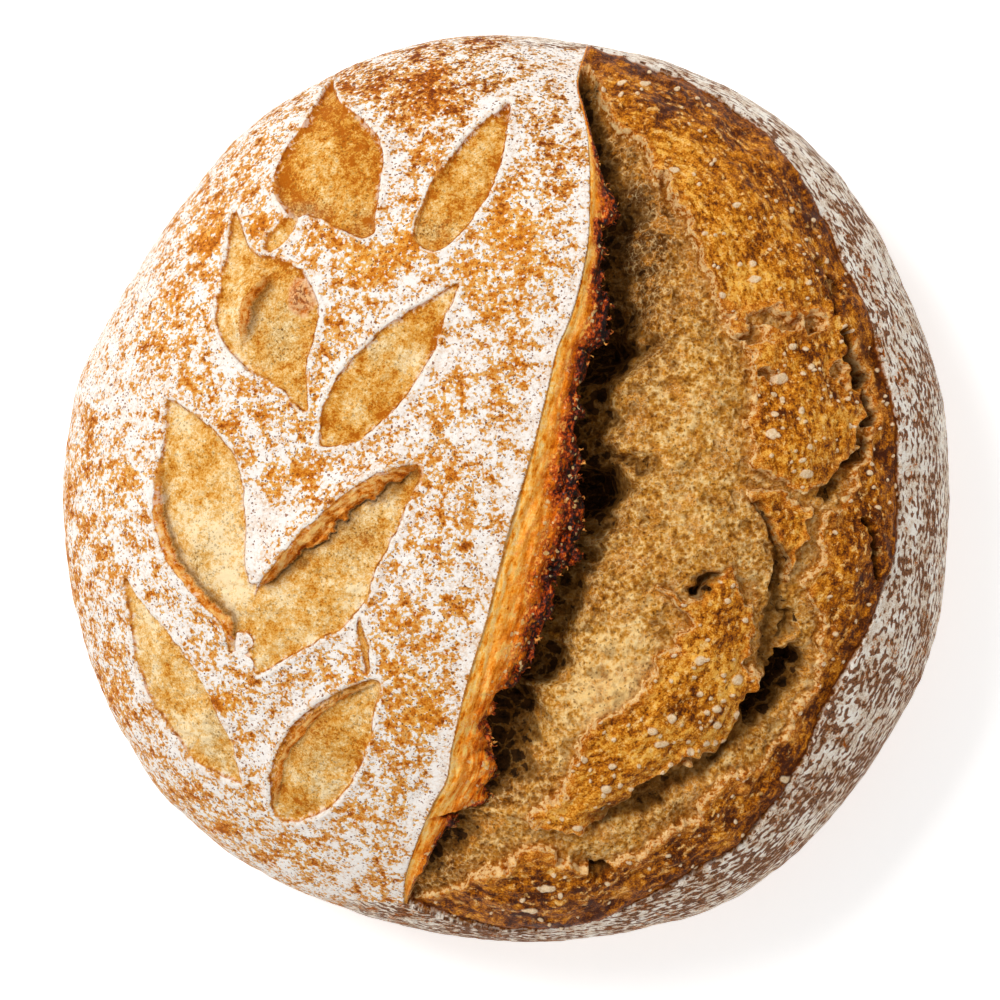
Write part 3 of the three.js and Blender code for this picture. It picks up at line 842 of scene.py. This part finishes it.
# ----------------------------------------
# The flour: rice flour from the basket, baked on to the crust. It lies thick beside the cuts, is
# rubbed off in patches that show the orange crust, and thins out towards the base.
BARE_PATCHES = (  # centre, half length across and up, and how much flour is gone
    (-7, 115, 5, 3, 0.45), (-32, 114, 5, 3, 0.25), (-19, 106, 8, 4, 0.5), (-33, 103, 8, 4, 0.35),
    (-23, 98, 7, 5, 0.4), (-15, 98, 5, 5, 0.4), (-22, 85, 3, 3, 0.35), (-63, 88, 5, 5, 0.25),
    (-75, 64, 4, 7, 0.55), (-62, 67, 4, 4, 0.35), (-24, 62, 8, 8, 0.6), (-43, 103, 4, 5, 0.4),
    (0, 66, 10, 8, 0.4), (7, 55, 5, 4, 0.3), (-9, 53, 5, 4, 0.35), (-37, 56, 5, 6, 0.5),
    (-47, 63, 5, 4, 0.3), (-2, 45, 4, 4, 0.3), (-45, 39, 4, 4, 0.25), (-86, 48, 4, 4, 0.25),
    (-16, 25, 4, 3, 0.4), (-2, 24, 5, 6, 0.3), (-77, 29, 4, 4, 0.3), (-71, 17, 4, 4, 0.35),
    (-50, 22, 8, 8, 0.3), (-57, 4, 5, 5, 0.35), (-50, 3, 5, 4, 0.35), (-24, 4, 5, 4, 0.3),
    (-9, 3, 4, 4, 0.2), (-94, 4, 6, 3, 0.25), (-26, -32, 4, 4, 0.4), (-33, -37, 4, 4, 0.35),
    (-28, -42, 5, 5, 0.35), (-44, -45, 4, 3, 0.3), (-35, -48, 4, 4, 0.3), (-24, -56, 5, 5, 0.25),
    (-17, -53, 4, 4, 0.3), (-73, -55, 5, 4, 0.3), (-101, -53, 4, 12, 0.3), (-70, -85, 8, 3, 0.35),
    (-57, -93, 10, 3, 0.35), (-38, -92, 4, 4, 0.35), (-38, -81, 4, 4, 0.25), (-30, -77, 4, 4, 0.25),
)
THICK_PATCHES = (  # centre, half length across and up, and how much more flour there is
    (-62, -6, 7, 7, 0.45), (-64, -17, 5, 6, 0.4), (-55, 71, 4, 3, 0.35), (5, 97, 10, 12, 0.1),
    (-100, 60, 12, 30, 0.2), (-100, 10, 10, 30, 0.1), (-45, 90, 5, 8, 0.2), (-28, 81, 5, 5, 0.2),
    (-17, 33, 7, 6, 0.2), (-66, -39, 3, 3, 0.4), (-20, 14, 8, 6, 0.12),
)
RIM_MIDDLE = math.radians(-12.0)  # the way the burst's rim faces, seen from the loaf's middle
RIM_ENDS = (82.0, 118.0)  # degrees from there where the rim's flour starts and ends its change

patchy_x = px + 1.3 * waves(85, px, py, 5.0)
patchy_y = py + 1.3 * waves(86, px, py, 5.0)
flour = 0.55 + lumps(px, py, (81, 14.0, 0.05), (82, 5.0, 0.04))
for patches, sign in ((BARE_PATCHES, -0.85), (THICK_PATCHES, 1.0)):
    for x, y, half_x, half_y, much in patches:
        flour += sign * much * oval(patchy_x, patchy_y, x, y, half_x, half_y)
flour += 0.26 * hump(np.minimum(beside_ear + 0.6, 0.0), 3.4) * lifted_crust
flour += 0.14 * hump(in_leaf + 0.9, 1.1)
rim_turn = np.degrees(np.abs((angle - RIM_MIDDLE + math.pi) % (2 * math.pi) - math.pi))
beyond_rim = (1 - ease(rim_turn, *RIM_ENDS)) * (1 - on_right(bare)) * ~lifted_crust
flour += beyond_rim * 0.05
# The rim's flour is a little darker and more flecked towards its end at -y.
rim_worn = beyond_rim * ease(-py, 10.0, 70.0)
flour_share = mask("flour", np.clip(flour, 0.0, 1.1), 0.3)
floured = (1.0 - leaf_share.between(0.2, 0.8)) * (1.0 - mask("bare_dough", on_right(bare)))

cover = flour_share + (patch - 0.5) * 1.6 + (fleck - 0.5) * 1.5 + (clump - 0.5) * 1.1 + (speck - 0.5) * 0.3
haze = ramp(speck * 0.5 + patch * 0.5, (0.38, 216, 144, 54), (0.6, 243, 198, 126))
floured_colour = haze.over(colour, floured * cover.between(0.12, 0.46) * 0.8)
flour_colour = ramp(
    speck * 0.3 + clump * 0.3 + patch * 0.4,
    (0.4, 230, 199, 168), (0.47, 241, 223, 207), (0.55, 249, 241, 233),
)
floured_colour = flour_colour.over(floured_colour, floured * cover.between(0.49, 0.61))
crumbs_of_flour = (1.0 - cells(1.6).between(0.26, 0.36)) * cover.between(0.1, 0.25) * floured
floured_colour = flour_colour.over(floured_colour, crumbs_of_flour * 0.9)
dots = (1.0 - cells(1.05).between(0.22, 0.32)) * (clump + bake * 0.1).between(0.44, 0.52) * floured
dot_colour = ramp(speck - bake * 0.06, (0.36, 78, 34, 8), (0.58, 170, 100, 48))
floured_colour = dot_colour.over(floured_colour, dots * 0.9)
rim_side = (mask("beyond_rim", beyond_rim) + (patch - 0.5) * 0.9 + (fleck - 0.5) * 0.4).between(0.3, 0.7)
rim_lower_share = mask("rim_worn", rim_worn)
rim_dust = ramp(
    speck * 0.5 + patch * 0.5 - rim_lower_share * 0.02,
    (0.36, 152, 112, 74), (0.46, 228, 206, 182), (0.56, 254, 246, 234),
)
rim_colour = rim_dust.over(floured_colour, rim_side * cover.between(0.1, 0.4))
rim_along = mask("rim_along", angle * MEAN_RADIUS, None)
height_up = start.node("ShaderNodeSeparateXYZ", {}, {0: coords}, 2) * 1000.0
rim_lie = lying(rim_along * 0.4, height_up)
rim_flecks = grain(1.0, 1.0, 0.5, rim_lie, 1.0) * 0.7 + speck * 0.2 + blotch * 0.35 - 0.075
rim_flecks = (rim_flecks + rim_lower_share * 0.03).between(0.565, 0.595) * rim_side
rim_fleck_colour = ramp(speck, (0.38, 48, 20, 4), (0.6, 152, 88, 38))
colour = rim_fleck_colour.over(rim_colour, rim_flecks * 0.95)
dusted = (1.0 - leaf_gap.between(0.0, 1.8)) * leaf_share * cover.between(0.7, 0.85) * 0.4
colour = flour_colour.over(colour, dusted)
pale_line = leaf_gap.band(-0.9, -0.55, -0.35, -0.15)
cream = ramp(speck, (0.4, 240, 224, 200), (0.6, 252, 246, 238))
colour = cream.over(colour, pale_line * patch.between(0.36, 0.52) * 0.7)

# The finished colour, gloss and grain all go to the loaf's one material.
gloss = 0.85 - skin_share * 0.3 - burn_share * 0.35
varnish = burn_share * 0.15
relief = crust_relief + floured * cover.between(0.3, 0.8) * 0.25 - small_holes * 0.15 - dots * 0.1
bump = start.node("ShaderNodeBump", {}, {"Height": relief, "Distance": 0.0007, "Strength": 0.9})
shader.inputs["Specular IOR Level"].default_value = 0.1
shader.inputs["Coat Roughness"].default_value = 0.3
finishes = {"Base Color": colour, "Roughness": gloss, "Coat Weight": varnish, "Normal": bump}
for name, finish in finishes.items():
    crust.node_tree.links.new(finish.socket, shader.inputs[name])

# ----------------------------------------
# The loaf's whole outside as one closed mesh: the dome's net, then rings of threads from the dome's
# border round the underside, which the stone held flat, to the middle of the base.
MM = 0.001
UNDERSIDE = 40.0
UNDERSIDE_POWER = 2.6
UNDERSIDE_RINGS = 30
BASE_RINGS = 8
RING_GAP = 1.9

place = np.empty((px.size, 3))
place[:, 0] = px + shift_x + out_x * height
place[:, 1] = py + out_y * height
place[:, 2] = dome_z + out_z * height

net = np.arange(THREADS * THREADS).reshape(THREADS, THREADS)
border = np.concatenate([net[0, :-1], net[:-1, -1], net[-1, :0:-1], net[:0:-1, 0]])
quads = [np.stack([net[:-1, :-1], net[:-1, 1:], net[1:, 1:], net[1:, :-1]], axis=-1).reshape(-1, 4)]

ring_angle = angle[border]
ring_radius = outline_radius(ring_angle)
round_line = np.stack([ring_radius * np.cos(ring_angle), ring_radius * np.sin(ring_angle)], axis=1)
border_extra = place[border, :2] - round_line
rings = []
ring_share = []
for step in range(1, UNDERSIDE_RINGS + 1):
    share = step / UNDERSIDE_RINGS
    tilt = share * math.asin(WAIST / UNDERSIDE)
    spread = math.cos(tilt) ** (2.0 / UNDERSIDE_POWER)
    ripple = 0.5 * waves(91, ring_angle * MEAN_RADIUS, np.full(border.size, step * RING_GAP), 24.0)
    radius = spread + ripple * 4 * share * (1 - share) / MEAN_RADIUS
    ring = np.empty((border.size, 3))
    ring[:, :2] = round_line * radius[:, None] + border_extra * (1 - share) ** 2
    ring[:, 2] = WAIST - UNDERSIDE * math.sin(tilt)
    rings.append(ring)
    ring_share.append(share)
for step in range(1, BASE_RINGS):
    rings.append(rings[UNDERSIDE_RINGS - 1] * [1 - step / BASE_RINGS, 1 - step / BASE_RINGS, 1.0])
    ring_share.append(1.0)
dome_count = len(place)
all_places = np.vstack([place, *rings, np.zeros((1, 3))])
loops = [border] + [dome_count + step * border.size + np.arange(border.size) for step in range(len(rings))]
for upper, lower in zip(loops, loops[1:]):
    quads.append(np.stack([upper, lower, np.roll(lower, -1), np.roll(upper, -1)], axis=-1))
quads = np.vstack(quads)
fans = np.stack([loops[-1], np.full(border.size, len(all_places) - 1), np.roll(loops[-1], -1)], axis=-1)

corners = np.concatenate([quads.ravel(), fans.ravel()]).astype(np.int32)
face_starts = np.concatenate([np.arange(len(quads)) * 4, len(quads) * 4 + np.arange(len(fans)) * 3])
loaf_mesh = bpy.data.meshes.new("loaf_crust")
loaf_mesh.vertices.add(len(all_places))
loaf_mesh.vertices.foreach_set("co", (all_places * MM).astype(np.float32).ravel())
loaf_mesh.loops.add(len(corners))
loaf_mesh.loops.foreach_set("vertex_index", corners)
loaf_mesh.polygons.add(len(face_starts))
loaf_mesh.polygons.foreach_set("loop_start", face_starts.astype(np.int32))
loaf_mesh.update(calc_edges=True)
loaf_mesh.validate()
loaf_mesh.polygons.foreach_set("use_smooth", np.ones(len(face_starts), dtype=bool))

for name, values in masks.items():
    at_border = values[border]
    at_base = at_border if masks_below[name] is None else masks_below[name] + 0.0 * at_border
    under = [at_border * (1 - share) + at_base * share for share in ring_share]
    layer = loaf_mesh.attributes.new(name, "FLOAT", "POINT")
    layer.data.foreach_set("value", np.concatenate([values, *under, at_base[:1]]).astype(np.float32))

# The loaf's unwrapping: the dome and the underside spread round one middle, and the base in a corner.
BASE_CORNER = 0.08
BASE_SPREAD = 0.1
under_arc = DOME_ARC + np.arange(1, len(rings) + 1) * RING_GAP
ring_arc = np.concatenate([arc, np.repeat(under_arc, border.size), [0.0]])
ring_turn = np.concatenate([angle, np.tile(ring_angle, len(rings)), [0.0]])
widest = DOME_ARC + UNDERSIDE_RINGS * RING_GAP
flat_u = 0.5 + 0.495 * ring_arc / widest * np.cos(ring_turn)
flat_v = 0.5 + 0.495 * ring_arc / widest * np.sin(ring_turn)
base_from = dome_count + (UNDERSIDE_RINGS - 1) * border.size
quad_in_base = np.repeat(quads.min(axis=1) >= base_from, 4)
corner_in_base = np.concatenate([quad_in_base, np.ones(fans.size, dtype=bool)])
base_u = BASE_CORNER + all_places[:, 0] / MEAN_RADIUS * BASE_SPREAD
base_v = BASE_CORNER + all_places[:, 1] / MEAN_RADIUS * BASE_SPREAD
uv = np.empty((len(corners), 2), dtype=np.float32)
uv[:, 0] = np.where(corner_in_base, base_u[corners], flat_u[corners])
uv[:, 1] = np.where(corner_in_base, base_v[corners], flat_v[corners])
loaf_mesh.uv_layers.new(name="OFBake").data.foreach_set("uv", uv.ravel())
loaf_mesh.materials.append(crust)

loaf = put("loaf_crust", loaf_mesh)
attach(loaf, "root")
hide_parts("loaf")

# ----------------------------------------
# The gluten curls: short threads of dough that stretched and snapped as the slash tore open. They
# baked hard where they stood, as a fringe of small brown curls along the ear's lip.
CURLS = 160
CURL_SIDES = 5
CURL_STEPS = 8

draws = np.random.default_rng(101)
lip_threads = right[(np.abs(lip_gap) < 0.2) & (pull > 0.4)]
curl_rings = []
for number in range(CURLS):
    root_at = place[draws.choice(lip_threads)] - [0.35, 0.0, 0.15]
    heading = draws.normal(0.0, 0.7)
    length = draws.uniform(0.6, 1.7)
    run = length * np.array([math.cos(heading), math.sin(heading), 0.35 * draws.normal() - 0.2])
    aside = np.cross(run, (0.0, 0.0, 1.0)) / np.hypot(run[0], run[1])
    over = np.cross(aside, run / np.linalg.norm(run))
    share = np.linspace(0.0, 1.0, CURL_STEPS)[:, None]
    bow = 4 * share * (1 - share)
    middle = root_at + run * share + aside * bow * draws.normal(0.0, 0.45)
    middle = middle + over * bow * draws.normal(0.0, 0.3)
    turns = np.linspace(0.0, 2 * math.pi, CURL_SIDES, endpoint=False)[None, :, None]
    thick = draws.uniform(0.2, 0.42)
    knots = 0.25 * np.sin(share * 9.0 + draws.uniform(0.0, 6.0))
    radius = thick * (1 - 0.6 * share + knots)
    curl_rings.append(middle[:, None] + radius[:, None] * (np.cos(turns) * aside + np.sin(turns) * over))

threads = np.arange(CURLS * CURL_STEPS * CURL_SIDES).reshape(CURLS, CURL_STEPS, CURL_SIDES)
beside_threads = np.roll(threads, -1, axis=2)
curl_walls = [threads[:, :-1], beside_threads[:, :-1], beside_threads[:, 1:], threads[:, 1:]]
curl_faces = np.stack(curl_walls, axis=-1).reshape(-1, 4).tolist()
curl_faces += threads[:, 0, ::-1].tolist() + threads[:, -1].tolist()
curl_mesh = bpy.data.meshes.new("gluten_curls")
curl_mesh.from_pydata((np.vstack(curl_rings).reshape(-1, 3) * MM).tolist(), [], curl_faces)
curl_mesh.polygons.foreach_set("use_smooth", np.ones(len(curl_faces), dtype=bool))

gluten, gluten_shader, gluten_start = new_material("baked_gluten")
gluten_coords = gluten_start.node("ShaderNodeTexCoord", {}, {}, 3)
gluten_noise = grain(2.0, 2.0, 0.5, gluten_coords)
gluten_colour = ramp(gluten_noise, (0.4, 56, 14, 0), (0.52, 164, 64, 2), (0.64, 248, 176, 84))
gluten.node_tree.links.new(gluten_colour.socket, gluten_shader.inputs["Base Color"])
gluten_shader.inputs["Roughness"].default_value = 0.5
gluten_shader.inputs["Specular IOR Level"].default_value = 0.2
curl_mesh.materials.append(gluten)
curls = put("gluten_curls", curl_mesh)
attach(curls, "root")

# ----------------------------------------
# The table and the light: a white table for the loaf to stand on, with a large soft lamp high on the
# left and a wide pale sky.
floor_mesh = bpy.data.meshes.new("table")
floor_mesh.from_pydata([(-3, -3, 0), (3, -3, 0), (3, 3, 0), (-3, 3, 0)], [], [(0, 1, 2, 3)])
floor = put("table", floor_mesh)
floor.location.z = -0.0002
table_paint, table_shader, _ = new_material("white_table")
table_shader.inputs["Base Color"].default_value = (0.93, 0.93, 0.93, 1.0)
table_shader.inputs["Roughness"].default_value = 0.9
table_shader.inputs["Emission Color"].default_value = (1.0, 1.0, 1.0, 1.0)
table_shader.inputs["Emission Strength"].default_value = 0.45
floor_mesh.materials.append(table_paint)

key_light = bpy.data.lights.new("key_lamp", "AREA")
key_light.shape = "SQUARE"
key_light.size = 0.7
key_light.energy = 27.0
key_lamp = put("key_lamp", key_light)
key_lamp.location = (-0.9, 0.7, 1.7)
towards_loaf = Vector((0.0, 0.0, 0.05)) - key_lamp.location
key_lamp.rotation_euler = towards_loaf.to_track_quat("-Z", "Y").to_euler()

sky = bpy.data.worlds.new("studio")
sky.use_nodes = True
sky.node_tree.nodes["Background"].inputs["Color"].default_value = (1.0, 1.0, 1.0, 1.0)
sky.node_tree.nodes["Background"].inputs["Strength"].default_value = 0.55
bpy.context.scene.world = sky
